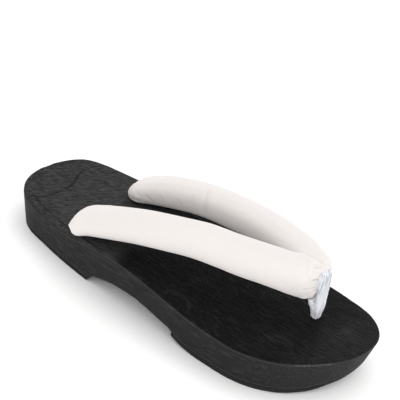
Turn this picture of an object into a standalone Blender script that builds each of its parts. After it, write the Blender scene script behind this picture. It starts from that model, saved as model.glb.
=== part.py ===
# Wooden sandal for the right foot: a carved base on two rubber treads, a pair of padded
# straps joined over the toes, and the folded satin thong that holds them down.
# Metres, +Z up. The toe points to +Y and the outer side of the foot is at +X.
# The origin is on the floor under the middle of the sandal.

import math

import bmesh
import bpy
import numpy as np

# Driving sizes
LENGTH = 0.245
WIDTH = 0.0924
HUMP_HEIGHT = 0.0308
HEEL_DISH = 0.0014
EDGE_RADIUS = 0.0014
WALL_LEAN = math.radians(5.5)
ARCH_HEIGHT = 0.0129
TOE_LIFT = 0.0105
TREAD_THICKNESS = 0.003
STRAP_WIDTH = 0.024
STRAP_THICKNESS = 0.0195
STRAP_LIFT = 0.0195
THONG_WIDTH = 0.0096
THONG_THICKNESS = 0.0024
THONG_HOLE_DEPTH = 0.009
THONG_STEM = 0.0058
THONG_SINK = 0.0006
GAP = 0.0003

# How finely the forms are divided
STATIONS = 40
STRAP_SIDES = 24
STRAP_STEPS = 34
THONG_STEPS = 14
HOLE_SIDES = 20
STRAP_SQUARENESS = 2.15
THONG_SQUARENESS = 3.2

# Outline at the top edge, heel to toe: along is a share of LENGTH, inner and outer are
# shares of half the WIDTH, lean is a share of WALL_LEAN and edge one of EDGE_RADIUS.
OUTLINE = [
    # along, inner, outer, lean, edge
    (0.00, 0.056, 0.056, 1.0, 1.6),
    (0.03, -0.589, 0.600, 1.0, 1.6),
    (0.08, -0.779, 0.762, 1.0, 1.5),
    (0.16, -0.872, 0.846, 1.0, 1.4),
    (0.26, -0.926, 0.924, 1.0, 1.2),
    (0.39, -0.963, 0.981, 1.0, 1.0),
    (0.55, -0.993, 0.997, 1.0, 1.0),
    (0.70, -0.996, 0.994, 1.0, 1.0),
    (0.80, -0.987, 0.946, 1.0, 1.0),
    (0.88, -0.922, 0.758, 1.0, 1.0),
    (0.94, -0.833, 0.455, 1.2, 1.0),
    (0.98, -0.662, 0.132, 1.6, 1.0),
    (1.00, -0.335, -0.335, 2.0, 1.0),
]

# Top surface along its edge: height is a share of HUMP_HEIGHT, dish one of HEEL_DISH.
TOP = [
    # along, height, dish
    (0.00, 0.965, 0.3),
    (0.07, 0.862, 0.9),
    (0.15, 0.819, 1.0),
    (0.20, 0.821, 1.0),
    (0.27, 0.861, 1.0),
    (0.33, 0.925, 0.7),
    (0.40, 0.984, 0.2),
    (0.45, 1.000, 0.0),
    (0.50, 0.981, 0.0),
    (0.55, 0.926, 0.2),
    (0.60, 0.870, 0.4),
    (0.65, 0.812, 0.5),
    (0.70, 0.773, 0.5),
    (0.76, 0.753, 0.5),
    (0.80, 0.753, 0.5),
    (0.86, 0.769, 0.4),
    (0.92, 0.795, 0.3),
    (1.00, 0.828, 0.0),
]

# Underside of the wood between the two blocks: height is a share of ARCH_HEIGHT.
ARCH = [
    # along, height
    (0.362, 0.535),
    (0.383, 0.655),
    (0.405, 0.795),
    (0.430, 0.920),
    (0.466, 0.985),
    (0.505, 1.000),
    (0.543, 0.900),
    (0.580, 0.755),
    (0.618, 0.628),
]

# Underside of the front tread and of the wood past its end: height is a share of TOE_LIFT.
ROCKER = [
    # along, height
    (0.620, 0.360),
    (0.640, 0.210),
    (0.660, 0.105),
    (0.680, 0.035),
    (0.700, 0.000),
    (0.830, 0.000),
    (0.900, 0.080),
    (0.930, 0.165),
    (0.950, 0.345),
    (0.972, 0.600),
    (0.987, 0.835),
    (1.000, 1.000),
]

# Shares of LENGTH where the heel block and the two treads end
HEEL_FRONT_AT = 0.336
FRONT_TREAD_END_AT = 0.955

# The straps from the heel to where they join: along is a share of LENGTH, across of half
# the WIDTH, lift is a share of STRAP_LIFT, wide of STRAP_WIDTH and thick of STRAP_THICKNESS.
OUTER_STRAP = [
    # along, across, lift, wide, thick
    (0.2440, 0.672, 0.00, 0.30, 0.24),
    (0.2490, 0.672, 0.00, 0.62, 0.42),
    (0.2600, 0.674, 0.00, 0.92, 0.60),
    (0.2780, 0.676, 0.00, 1.07, 0.74),
    (0.3000, 0.674, 0.00, 1.09, 0.84),
    (0.3370, 0.656, 0.01, 1.07, 0.97),
    (0.4050, 0.617, 0.20, 1.02, 1.00),
    (0.4940, 0.543, 0.50, 1.00, 1.00),
    (0.5830, 0.410, 0.84, 1.01, 1.00),
    (0.6480, 0.306, 0.97, 1.00, 1.00),
    (0.6920, 0.223, 1.00, 1.06, 1.00),
    (0.7280, 0.146, 1.01, 1.08, 1.00),
    (0.7475, 0.102, 1.01, 1.09, 1.00),
    (0.7835, 0.045, 0.97, 0.97, 1.04),
    (0.8190, -0.020, 0.88, 0.74, 1.08),
    (0.8370, -0.095, 0.91, 0.52, 0.92),
    (0.8470, -0.150, 1.02, 0.32, 0.62),
]
INNER_STRAP = [
    # along, across, lift, wide, thick
    (0.2310, -0.572, 0.00, 0.34, 0.22),
    (0.2380, -0.572, 0.00, 0.74, 0.44),
    (0.2520, -0.571, 0.00, 1.02, 0.62),
    (0.2730, -0.571, 0.00, 1.15, 0.77),
    (0.3000, -0.580, 0.00, 1.15, 0.88),
    (0.3370, -0.610, 0.01, 1.09, 0.98),
    (0.4050, -0.640, 0.12, 1.02, 1.00),
    (0.4940, -0.656, 0.32, 0.97, 1.00),
    (0.5830, -0.637, 0.60, 0.96, 1.00),
    (0.6480, -0.600, 0.78, 0.98, 1.00),
    (0.6920, -0.551, 0.87, 1.02, 1.00),
    (0.7280, -0.486, 0.92, 1.00, 1.00),
    (0.7475, -0.453, 0.95, 1.01, 1.00),
    (0.7835, -0.378, 0.96, 1.00, 1.03),
    (0.8190, -0.275, 0.93, 0.92, 1.03),
    (0.8380, -0.240, 0.95, 0.80, 0.92),
    (0.8490, -0.212, 1.02, 0.60, 0.70),
]

# The thong's two strands, from the straps down to the wood: along is a share of LENGTH,
# across of half the WIDTH, height is a share of the way from the wood up to the straps'
# middle at the join, wide is a share of THONG_WIDTH and thick one of THONG_THICKNESS.
FRONT_STRAND = [
    # along, across, height, wide, thick
    (0.8545, -0.212, 1.05, 0.92, 0.7),
    (0.8555, -0.217, 0.95, 1.10, 0.9),
    (0.8558, -0.225, 0.77, 1.12, 1.0),
    (0.8562, -0.235, 0.52, 1.10, 1.1),
    (0.8580, -0.247, 0.25, 1.02, 1.1),
    (0.8590, -0.259, 0.03, 0.68, 1.1),
    (0.8590, -0.259, -0.09, 0.52, 1.0),
]
REAR_STRAND = [
    # along, across, height, wide, thick
    (0.8400, -0.185, 0.50, 0.62, 1.0),
    (0.8460, -0.205, 0.36, 0.72, 1.1),
    (0.8535, -0.238, 0.18, 0.68, 1.1),
    (0.8572, -0.257, 0.03, 0.56, 1.0),
    (0.8574, -0.259, -0.09, 0.50, 0.9),
]
THONG_FOOT = (0.8582, -0.259)

# Colours are linear, from the photo
FINISHES = {
    # node: base colour, roughness, metallic
    "wooden_base": ((0.021, 0.021, 0.021), 0.62, 0.0),
    "heel_tread": ((0.012, 0.012, 0.012), 0.80, 0.0),
    "front_tread": ((0.012, 0.012, 0.012), 0.80, 0.0),
    "padded_straps": ((0.86, 0.83, 0.80), 0.90, 0.0),
    "toe_thong": ((0.74, 0.78, 0.84), 0.35, 0.0),
}

HALF = WIDTH / 2


def clear_scene():
    for obj in list(bpy.data.objects):
        bpy.data.objects.remove(obj, do_unlink=True)


def new_collection(name):
    collection = bpy.data.collections.new(name)
    bpy.context.scene.collection.children.link(collection)
    return collection


def smooth_rows(knots, rows, at):
    """Values of a smooth curve through the rows, one row for each knot."""
    knots = np.asarray(knots, float)
    rows = np.asarray(rows, float)
    steps = np.diff(knots)[:, None]
    slopes = np.diff(rows, axis=0) / steps
    tangents = np.empty_like(rows)
    tangents[0] = slopes[0]
    tangents[-1] = slopes[-1]
    tangents[1:-1] = (slopes[:-1] * steps[1:] + slopes[1:] * steps[:-1]) / (steps[1:] + steps[:-1])
    at = np.clip(np.asarray(at, float), knots[0], knots[-1])
    cell = np.clip(np.searchsorted(knots, at, side="right") - 1, 0, len(steps) - 1)
    step = steps[cell, 0]
    u = ((at - knots[cell]) / step)[:, None]
    step = step[:, None]
    return (
        (2 * u**3 - 3 * u**2 + 1) * rows[cell]
        + (u**3 - 2 * u**2 + u) * step * tangents[cell]
        + (3 * u**2 - 2 * u**3) * rows[cell + 1]
        + (u**3 - u**2) * step * tangents[cell + 1]
    )


def outline_at(angles):
    """Outline points for angles from 0 at the heel to pi at the toe and on to two pi, with
    the lean and the edge radius there. The outer side comes first."""
    table = np.array(OUTLINE)
    turns = np.arccos(1 - 2 * table[:, 0])
    outer = np.column_stack((turns, table[:, 2], table[:, 3], table[:, 4]))
    inner = np.column_stack((2 * math.pi - turns, table[:, 1], table[:, 3], table[:, 4]))[::-1]
    loop = np.vstack((outer, inner[1:]))
    before = loop[-4:-1] - [2 * math.pi, 0, 0, 0]
    after = loop[1:4] + [2 * math.pi, 0, 0, 0]
    loop = np.vstack((before, loop, after))
    values = smooth_rows(loop[:, 0], loop[:, 1:], angles)
    along = (1 - np.cos(angles)) / 2
    points = np.column_stack((values[:, 0] * HALF, (along - 0.5) * LENGTH))
    return points, values[:, 1] * WALL_LEAN, values[:, 2] * EDGE_RADIUS


def half_width_at(y):
    """Inner and outer reach of the outline at places along the length."""
    turns = np.arccos(np.clip(-2 * np.asarray(y, float) / LENGTH, -1, 1))
    outer = outline_at(turns)[0][:, 0]
    inner = outline_at(2 * math.pi - turns)[0][:, 0]
    return inner, outer


def top_height(x, y):
    """Height of the wood's top surface above the floor."""
    x = np.atleast_1d(np.asarray(x, float))
    y = np.atleast_1d(np.asarray(y, float))
    table = np.array(TOP)
    rows = smooth_rows(table[:, 0], table[:, 1:], y / LENGTH + 0.5)
    inner, outer = half_width_at(y)
    middle = (inner + outer) / 2
    reach = np.maximum((outer - inner) / 2, 0.1 * HALF)
    across = np.clip((x - middle) / reach, -1, 1)
    return rows[:, 0] * HUMP_HEIGHT - rows[:, 1] * HEEL_DISH * (1 - across**2)


def mesh_object(name, vertices, faces, collection):
    mesh = bpy.data.meshes.new(name)
    mesh.from_pydata([tuple(map(float, v)) for v in vertices], [], faces)
    obj = bpy.data.objects.new(name, mesh)
    collection.objects.link(obj)
    form = bmesh.new()
    form.from_mesh(mesh)
    bmesh.ops.remove_doubles(form, verts=form.verts, dist=1e-6)
    bmesh.ops.recalc_face_normals(form, faces=form.faces)
    form.to_mesh(mesh)
    form.free()
    return obj


def ring_faces(rings, around):
    """Quads between rings of equally many points."""
    faces = []
    for ring in range(rings - 1):
        for i in range(around):
            j = (i + 1) % around
            a = ring * around
            faces.append((a + i, a + j, a + around + j, a + around + i))
    return faces


def carved_block(name, collection):
    """The whole block inside the outline, with its leaning wall, rounded top edge and
    shaped top, from just under the floor."""
    angles = np.arange(2 * STATIONS) * math.pi / STATIONS
    points, lean, edge = outline_at(angles)
    tangent = np.roll(points, -1, axis=0) - np.roll(points, 1, axis=0)
    tangent /= np.linalg.norm(tangent, axis=1)[:, None]
    inward = np.column_stack((-tangent[:, 1], tangent[:, 0]))
    brim = top_height(points[:, 0], points[:, 1])
    foot = -2 * TREAD_THICKNESS
    rings = []
    drop = brim - edge - foot
    low = points + inward * (drop * np.tan(lean))[:, None]
    rings.append(np.column_stack((low, np.full(len(low), foot))))
    for turn in (0, 30, 60, 90):
        bend = math.radians(turn)
        flat = points + inward * (edge * (1 - math.cos(bend)))[:, None]
        rings.append(np.column_stack((flat, brim - edge * (1 - math.sin(bend)))))
    rim = rings[-1]
    ends = 0.17 * LENGTH
    spine_y = np.clip(points[:, 1], ends - LENGTH / 2, LENGTH / 2 - ends)
    inner, outer = half_width_at(spine_y)
    spine = np.column_stack(((inner + outer) / 2, spine_y))
    for share in (0.82, 0.6, 0.36, 0.0):
        flat = spine + (rim[:, :2] - spine) * share
        height = top_height(flat[:, 0], flat[:, 1])
        rings.append(np.column_stack((flat, height)))
    around = len(points)
    faces = ring_faces(len(rings), around)
    faces.append(tuple(range(around)))
    return mesh_object(name, np.vstack(rings), faces, collection)


def across_prism(name, profile, collection):
    """A solid with the given side view (along, height), reaching past both sides."""
    curve = bpy.data.curves.new(name, "CURVE")
    curve.dimensions = "2D"
    curve.fill_mode = "BOTH"
    curve.extrude = WIDTH
    spline = curve.splines.new("POLY")
    spline.points.add(len(profile) - 1)
    for point, (y, z) in zip(spline.points, profile):
        point.co = (y, z, 0, 1)
    spline.use_cyclic_u = True
    guide = bpy.data.objects.new(name + "_outline", curve)
    collection.objects.link(guide)
    guide.rotation_euler = (math.pi / 2, 0, math.pi / 2)
    bpy.context.view_layer.update()
    evaluated = guide.evaluated_get(bpy.context.evaluated_depsgraph_get())
    mesh = bpy.data.meshes.new_from_object(evaluated)
    prism = bpy.data.objects.new(name, mesh)
    prism.matrix_world = guide.matrix_world.copy()
    collection.objects.link(prism)
    bpy.data.objects.remove(guide, do_unlink=True)
    form = bmesh.new()
    form.from_mesh(mesh)
    bmesh.ops.remove_doubles(form, verts=form.verts, dist=1e-6)
    bmesh.ops.recalc_face_normals(form, faces=form.faces)
    form.to_mesh(mesh)
    form.free()
    hide_helper(prism)
    return prism


def hide_helper(obj):
    obj.hide_render = True
    obj.display_type = "WIRE"


def add_boolean(obj, other, operation):
    modifier = obj.modifiers.new(operation.lower() + "_" + other.name, "BOOLEAN")
    modifier.operation = operation
    modifier.object = other
    modifier.solver = "EXACT"


def rocker_points(rise, until=1.0):
    """The front tread's underside, raised by a constant amount, as (y, z)."""
    table = np.array(ROCKER)
    along = np.unique(np.append(table[table[:, 0] < until, 0], until))
    height = np.interp(along, table[:, 0], table[:, 1]) * TOE_LIFT
    return [((a - 0.5) * LENGTH, h + rise) for a, h in zip(along, height)]


def heel_slope():
    """How far the heel block's front wall runs forward for each metre it rises."""
    run = (ARCH[0][0] - HEEL_FRONT_AT) * LENGTH
    return run / (ARCH[0][1] * ARCH_HEIGHT)


def wood_underside():
    """Side view of the wood's underside from the heel to past the toe."""
    seat = TREAD_THICKNESS + GAP
    corner = (HEEL_FRONT_AT - 0.5) * LENGTH + heel_slope() * seat
    line = [(-LENGTH, seat), (corner, seat)]
    line += [((a - 0.5) * LENGTH, h * ARCH_HEIGHT) for a, h in ARCH]
    line += rocker_points(seat, FRONT_TREAD_END_AT)
    beyond = rocker_points(0)
    end = (FRONT_TREAD_END_AT - 0.5) * LENGTH + GAP
    line.append((end, float(np.interp(end, *zip(*beyond)))))
    line += [point for point in beyond if point[0] > end]
    line.append((LENGTH, TOE_LIFT))
    return line


def wooden_base(parts, cutters):
    base = carved_block("wooden_base", parts)
    floor = -4 * TREAD_THICKNESS
    profile = wood_underside() + [(LENGTH, floor), (-LENGTH, floor)]
    add_boolean(base, across_prism("underside_cut", profile, cutters), "DIFFERENCE")
    add_boolean(base, thong_hole(cutters), "DIFFERENCE")
    return base


def tread(name, profile, parts, cutters):
    piece = carved_block(name, parts)
    add_boolean(piece, across_prism(name + "_band", profile, cutters), "INTERSECT")
    return piece


def heel_tread(parts, cutters):
    front = (HEEL_FRONT_AT - 0.5) * LENGTH
    profile = [
        (-LENGTH, 0),
        (front, 0),
        (front + heel_slope() * TREAD_THICKNESS, TREAD_THICKNESS),
        (-LENGTH, TREAD_THICKNESS),
    ]
    return tread("heel_tread", profile, parts, cutters)


def front_tread(parts, cutters):
    under = rocker_points(0, FRONT_TREAD_END_AT)
    over = rocker_points(TREAD_THICKNESS, FRONT_TREAD_END_AT)
    return tread("front_tread", under + over[::-1], parts, cutters)


def place_on(middle, side, up, outline):
    """World points of a flat section placed square to its path."""
    return middle + outline[:, :1] * side + outline[:, 1:] * up


def loft(name, sections, collection):
    """A closed solid through sections, with a point at the middle of each end."""
    around = len(sections[0])
    vertices = np.vstack(sections + [sections[0].mean(0)[None], sections[-1].mean(0)[None]])
    faces = ring_faces(len(sections), around)
    first = len(sections) * around
    last = (len(sections) - 1) * around
    for i in range(around):
        j = (i + 1) % around
        faces.append((first, j, i))
        faces.append((first + 1, last + i, last + j))
    return mesh_object(name, vertices, faces, collection)


def oval(wide, thick, squareness):
    """A rounded section, wide across and thick upwards."""
    turn = np.arange(STRAP_SIDES) * 2 * math.pi / STRAP_SIDES
    cos, sin = np.cos(turn), np.sin(turn)
    x = np.sign(cos) * np.abs(cos) ** (2 / squareness) * wide / 2
    z = np.sign(sin) * np.abs(sin) ** (2 / squareness) * thick / 2
    return np.column_stack((x, z))


def strap_tube(name, table, collection):
    """One padded strap, resting on the wood behind and lifted over the toes. Its sections
    stand square to the sandal's length, and each keeps the gap to the wood below it."""
    table = np.array(table)
    share = np.linspace(0, 1, len(table))
    rows = smooth_rows(share, table, np.linspace(0, 1, STRAP_STEPS))
    side = np.array([1.0, 0.0, 0.0])
    up = np.array([0.0, 0.0, 1.0])
    sections = []
    for along, across, lift, wide, thick in rows:
        outline = oval(wide * STRAP_WIDTH, thick * STRAP_THICKNESS, STRAP_SQUARENESS)
        middle = np.array([across * HALF, (along - 0.5) * LENGTH, 0.0])
        section = place_on(middle, side, up, outline)
        rest = (top_height(section[:, 0], section[:, 1]) - section[:, 2]).max()
        section[:, 2] += rest + GAP + max(lift, 0) * STRAP_LIFT
        sections.append(section)
    return loft(name, sections, collection)


def join_middle():
    """Height of the straps' middle where they join."""
    foot_y = (THONG_FOOT[0] - 0.5) * LENGTH
    wood = float(top_height(THONG_FOOT[1] * HALF, foot_y)[0])
    return wood, wood + STRAP_LIFT + STRAP_THICKNESS / 2


def padded_straps(parts, cutters):
    straps = strap_tube("padded_straps", OUTER_STRAP, parts)
    inner = strap_tube("inner_strap", INNER_STRAP, cutters)
    hide_helper(inner)
    add_boolean(straps, inner, "UNION")
    return straps


def strand(name, table, collection):
    """One folded strand of the thong, a flat band swept down its own path."""
    table = np.array(table)
    wood, middle = join_middle()
    share = np.linspace(0, 1, len(table))
    rows = smooth_rows(share, table, np.linspace(0, 1, THONG_STEPS))
    path = np.column_stack((
        rows[:, 1] * HALF,
        (rows[:, 0] - 0.5) * LENGTH,
        wood + GAP + rows[:, 2] * (middle - wood),
    ))
    run = np.gradient(path, axis=0)
    run /= np.linalg.norm(run, axis=1)[:, None]
    sections = []
    for i in range(len(path)):
        side = np.array([1.0, 0.0, 0.0])
        side -= run[i] * (side @ run[i])
        side /= np.linalg.norm(side)
        outline = oval(rows[i, 3] * THONG_WIDTH, rows[i, 4] * THONG_THICKNESS, THONG_SQUARENESS)[::2]
        sections.append(place_on(path[i], side, np.cross(side, run[i]), outline))
    return loft(name, sections, collection)


def upright_pin(name, radius, top, bottom, collection):
    """A round helper solid standing where the thong meets the wood."""
    bpy.ops.mesh.primitive_cylinder_add(
        vertices=HOLE_SIDES, radius=radius, depth=top - bottom,
        location=(THONG_FOOT[1] * HALF, (THONG_FOOT[0] - 0.5) * LENGTH, (top + bottom) / 2))
    pin = bpy.context.object
    pin.name = name
    for owner in list(pin.users_collection):
        owner.objects.unlink(pin)
    collection.objects.link(pin)
    hide_helper(pin)
    return pin


def thong_hole(cutters):
    wood, _ = join_middle()
    radius = THONG_STEM / 2 + GAP
    return upright_pin("thong_hole", radius, wood + THONG_STEM, wood - THONG_HOLE_DEPTH, cutters)


def toe_thong(parts, cutters):
    wood, _ = join_middle()
    thong = strand("toe_thong", FRONT_STRAND, parts)
    rear = strand("rear_strand", REAR_STRAND, cutters)
    hide_helper(rear)
    add_boolean(thong, rear, "UNION")
    stem_end = wood - THONG_HOLE_DEPTH + GAP
    stem = upright_pin("thong_stem", THONG_STEM / 2, wood - THONG_SINK, stem_end, cutters)
    add_boolean(thong, stem, "UNION")
    return thong


def finish(obj):
    colour, roughness, metallic = FINISHES[obj.name]
    material = bpy.data.materials.new(obj.name)
    material.use_nodes = True
    shader = material.node_tree.nodes["Principled BSDF"]
    shader.inputs["Base Color"].default_value = (*colour, 1.0)
    shader.inputs["Roughness"].default_value = roughness
    shader.inputs["Metallic"].default_value = metallic
    obj.data.materials.clear()
    obj.data.materials.append(material)
    obj.data.shade_smooth()
    obj.data.set_sharp_from_angle(angle=math.radians(35))


def main():
    clear_scene()
    parts = new_collection("geta_sandal")
    cutters = new_collection("cutters")
    pieces = [
        wooden_base(parts, cutters),
        heel_tread(parts, cutters),
        front_tread(parts, cutters),
        padded_straps(parts, cutters),
        toe_thong(parts, cutters),
    ]
    for piece in pieces:
        finish(piece)


main()
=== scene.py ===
# Black wooden sandal for the right foot, dressed over its CAD frame.
# Metres, +Z up, toe to +Y, outer side of the foot to +X.

import math

import bmesh
import bpy
import numpy as np
from mathutils import Matrix, Vector


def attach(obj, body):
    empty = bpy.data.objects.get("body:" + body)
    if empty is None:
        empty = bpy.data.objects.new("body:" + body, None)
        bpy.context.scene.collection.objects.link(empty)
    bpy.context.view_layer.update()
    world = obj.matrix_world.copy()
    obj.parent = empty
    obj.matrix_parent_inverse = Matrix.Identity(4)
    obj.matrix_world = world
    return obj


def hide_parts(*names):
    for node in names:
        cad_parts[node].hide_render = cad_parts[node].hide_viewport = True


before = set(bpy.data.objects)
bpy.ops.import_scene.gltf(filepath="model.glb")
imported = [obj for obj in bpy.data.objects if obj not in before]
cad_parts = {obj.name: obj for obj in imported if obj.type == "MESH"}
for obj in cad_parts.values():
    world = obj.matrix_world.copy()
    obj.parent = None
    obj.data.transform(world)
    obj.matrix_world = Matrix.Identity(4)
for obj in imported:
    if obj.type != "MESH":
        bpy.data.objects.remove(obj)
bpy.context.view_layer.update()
scene = bpy.context.scene
scene.view_settings.view_transform = "Standard"

# camera, light and floor

shot = {
    "eye": (0.29287, 0.19061, 0.27118),
    "right": (-0.60952, 0.77623, 0.16111),
    "up": (-0.32311, -0.42882, 0.84363),
    "lens": 63.0, "sensor": 36.0, "nearest": 0.01,
}
studio = {
    "sky": (0.985, 0.985, 0.985), "skyStrength": 1.14,
    "floor": (0.99, 0.99, 0.985), "floorSize": 6.0,
}
lampRows = [  # name, place, size, power
    ("key", (-0.35, 0.25, 1.1), 1.0, 2.4),
    ("fill", (0.62, 0.36, 0.09), 0.5, 1.0),  # low, from the camera's side
    ("front", (0.35, 0.85, 0.10), 0.5, 0.4),  # low, from the toe side, reaches under the straps
]


def newObject(name, data):
    obj = bpy.data.objects.new(name, data)
    scene.collection.objects.link(obj)
    return obj


def makeCamera():
    right = np.array(shot["right"])
    right /= np.linalg.norm(right)
    back = np.cross(right, np.array(shot["up"]))
    back /= np.linalg.norm(back)
    turned = np.column_stack((right, np.cross(back, right), back))
    data = bpy.data.cameras.new("photoCamera")
    data.lens = shot["lens"]
    data.sensor_width = shot["sensor"]
    data.clip_start = shot["nearest"]
    camera = newObject("photoCamera", data)
    camera.matrix_world = Matrix([[*row, eye] for row, eye in zip(turned, shot["eye"])] + [[0, 0, 0, 1]])
    scene.camera = camera


def makeLamps():
    for name, place, size, power in lampRows:
        data = bpy.data.lights.new(name, "AREA")
        data.shape = "DISK"
        data.size = size
        data.energy = power
        lamp = newObject(name, data)
        lamp.location = place
        lamp.rotation_euler = (-Vector(place)).to_track_quat("-Z", "Y").to_euler()


# small helpers for nodes

def plugAll(tree, node, inputs):
    # numbers, words and colours go on the socket itself, anything else is a link
    for name, value in dict(inputs).items():
        socket = node.inputs[name]
        if isinstance(value, (int, float, str)):
            socket.default_value = value
        elif isinstance(value, tuple):
            socket.default_value = value if len(socket.default_value) == len(value) else (*value, 1.0)
        else:
            tree.links.new(value, socket)


def makeNode(tree, kind, inputs=(), **settings):
    node = tree.nodes.new(kind)
    for key, value in settings.items():
        setattr(node, key, value)
    plugAll(tree, node, inputs)
    return node


def calc(tree, operation, *values):
    return makeNode(tree, "ShaderNodeMath", enumerate(values), operation=operation).outputs[0]


def times(tree, a, b):
    return calc(tree, "MULTIPLY", a, b)


def vectorCalc(tree, operation, *values):
    return makeNode(tree, "ShaderNodeVectorMath", enumerate(values), operation=operation).outputs[0]


def remap(tree, value, low, high, toLow=0.0, toHigh=1.0):
    ends = {"Value": value, "From Min": low, "From Max": high, "To Min": toLow, "To Max": toHigh}
    return makeNode(tree, "ShaderNodeMapRange", ends, interpolation_type="SMOOTHSTEP").outputs["Result"]


def blendColor(tree, amount, first, second):
    return makeNode(tree, "ShaderNodeMix", {0: amount, 6: first, 7: second}, data_type="RGBA").outputs[2]


def noise(tree, vector, scale, detail=2.0, rough=0.5):
    return makeNode(tree, "ShaderNodeTexNoise", {
        "Vector": vector, "Scale": scale, "Detail": detail, "Roughness": rough}).outputs


def longNoise(tree, vector, scales, detail=2.0, rough=0.5):
    return noise(tree, vectorCalc(tree, "MULTIPLY", vector, scales), 1.0, detail, rough)["Fac"]


def splitAxes(tree, vector):
    return makeNode(tree, "ShaderNodeSeparateXYZ", {0: vector}).outputs


def namedValue(tree, name):
    return makeNode(tree, "ShaderNodeAttribute", attribute_name=name).outputs["Fac"]


def newMaterial(name):
    material = bpy.data.materials.new(name)
    material.use_nodes = True
    tree = material.node_tree
    place = makeNode(tree, "ShaderNodeTexCoord").outputs["Object"]
    return material, tree, tree.nodes["Principled BSDF"], place


def newGroup(name, kind, inputs, outputs):
    group = bpy.data.node_groups.new(name, kind)
    for label, socket, *value in inputs:
        made = group.interface.new_socket(label, in_out="INPUT", socket_type="NodeSocket" + socket)
        if value:
            made.default_value = value[0]
    for label, socket in outputs:
        group.interface.new_socket(label, in_out="OUTPUT", socket_type="NodeSocket" + socket)
    return group, makeNode(group, "NodeGroupInput").outputs, makeNode(group, "NodeGroupOutput")


def useGroup(tree, group, **values):
    return makeNode(tree, "ShaderNodeGroup", values, node_tree=group).outputs


def addBump(tree, shader, height, strength, distance):
    bump = makeNode(tree, "ShaderNodeBump", {"Strength": strength, "Distance": distance, "Height": height})
    plugAll(tree, shader, {"Normal": bump.outputs["Normal"]})


def newTree(name, inputs):
    inputs = [("Geometry", "Geometry"), *inputs, ("Material", "Material")]
    return newGroup(name, "GeometryNodeTree", inputs, [("Geometry", "Geometry")])


def endTree(tree, start, end, geometry):
    real = makeNode(tree, "GeometryNodeRealizeInstances", {0: geometry})
    paint = makeNode(tree, "GeometryNodeSetMaterial", {
        "Geometry": real.outputs[0], "Material": start["Material"]})
    plugAll(tree, end, {"Geometry": paint.outputs[0]})
    return tree


def runTree(obj, tree, **values):
    step = obj.modifiers.new(tree.name, "NODES")
    step.node_group = tree
    for item in tree.interface.items_tree:
        if item.in_out == "INPUT" and item.name in values:
            step[item.identifier] = values[item.name]
    bake(obj)


# the sandal's own form, the same rows as its solids

body = {
    "length": 0.245, "width": 0.0924, "hump": 0.0308, "dish": 0.0014, "edge": 0.0014,
    "lean": math.radians(5.5), "arch": 0.0129, "toeLift": 0.0105, "tread": 0.003,
    "strapWidth": 0.024, "strapThick": 0.0195, "strapLift": 0.0195, "gap": 0.0003,
}
outlineRows = [  # along, inner, outer, lean, edge
    (0.00, 0.056, 0.056, 1.0, 1.6), (0.03, -0.589, 0.600, 1.0, 1.6), (0.08, -0.779, 0.762, 1.0, 1.5),
    (0.16, -0.872, 0.846, 1.0, 1.4), (0.26, -0.926, 0.924, 1.0, 1.2), (0.39, -0.963, 0.981, 1.0, 1.0),
    (0.55, -0.993, 0.997, 1.0, 1.0), (0.70, -0.996, 0.994, 1.0, 1.0), (0.80, -0.987, 0.946, 1.0, 1.0),
    (0.88, -0.922, 0.758, 1.0, 1.0), (0.94, -0.833, 0.455, 1.2, 1.0), (0.98, -0.662, 0.132, 1.6, 1.0),
    (1.00, -0.335, -0.335, 2.0, 1.0),
]
topRows = [  # along, height, dish
    (0.00, 0.965, 0.3), (0.07, 0.862, 0.9), (0.15, 0.819, 1.0), (0.20, 0.821, 1.0), (0.27, 0.861, 1.0),
    (0.33, 0.925, 0.7), (0.40, 0.984, 0.2), (0.45, 1.000, 0.0), (0.50, 0.981, 0.0), (0.55, 0.926, 0.2),
    (0.60, 0.870, 0.4), (0.65, 0.812, 0.5), (0.70, 0.773, 0.5), (0.76, 0.753, 0.5), (0.80, 0.753, 0.5),
    (0.86, 0.769, 0.4), (0.92, 0.795, 0.3), (1.00, 0.828, 0.0),
]
archRows = [  # along, height
    (0.362, 0.535), (0.383, 0.655), (0.405, 0.795), (0.430, 0.920), (0.466, 0.985), (0.505, 1.000),
    (0.543, 0.900), (0.580, 0.755), (0.618, 0.628),
]
rockerRows = [  # along, height
    (0.620, 0.360), (0.640, 0.210), (0.660, 0.105), (0.680, 0.035), (0.700, 0.000), (0.830, 0.000),
    (0.900, 0.080), (0.930, 0.165), (0.950, 0.345), (0.972, 0.600), (0.987, 0.835), (1.000, 1.000),
]
outerStrapRows = [  # along, across, lift, wide, thick
    (0.2440, 0.672, 0.00, 0.30, 0.24), (0.2490, 0.672, 0.00, 0.62, 0.42), (0.2600, 0.674, 0.00, 0.92, 0.60),
    (0.2780, 0.676, 0.00, 1.07, 0.74), (0.3000, 0.674, 0.00, 1.09, 0.84), (0.3370, 0.656, 0.01, 1.07, 0.97),
    (0.4050, 0.617, 0.20, 1.02, 1.00), (0.4940, 0.543, 0.50, 1.00, 1.00), (0.5830, 0.410, 0.84, 1.01, 1.00),
    (0.6480, 0.306, 0.97, 1.00, 1.00), (0.6920, 0.223, 1.00, 1.06, 1.00), (0.7280, 0.146, 1.01, 1.08, 1.00),
    (0.7475, 0.102, 1.01, 1.09, 1.00), (0.7835, 0.045, 0.97, 0.97, 1.04), (0.8190, -0.020, 0.88, 0.74, 1.08),
    (0.8370, -0.095, 0.91, 0.52, 0.92), (0.8470, -0.150, 1.02, 0.32, 0.62),
]
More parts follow.
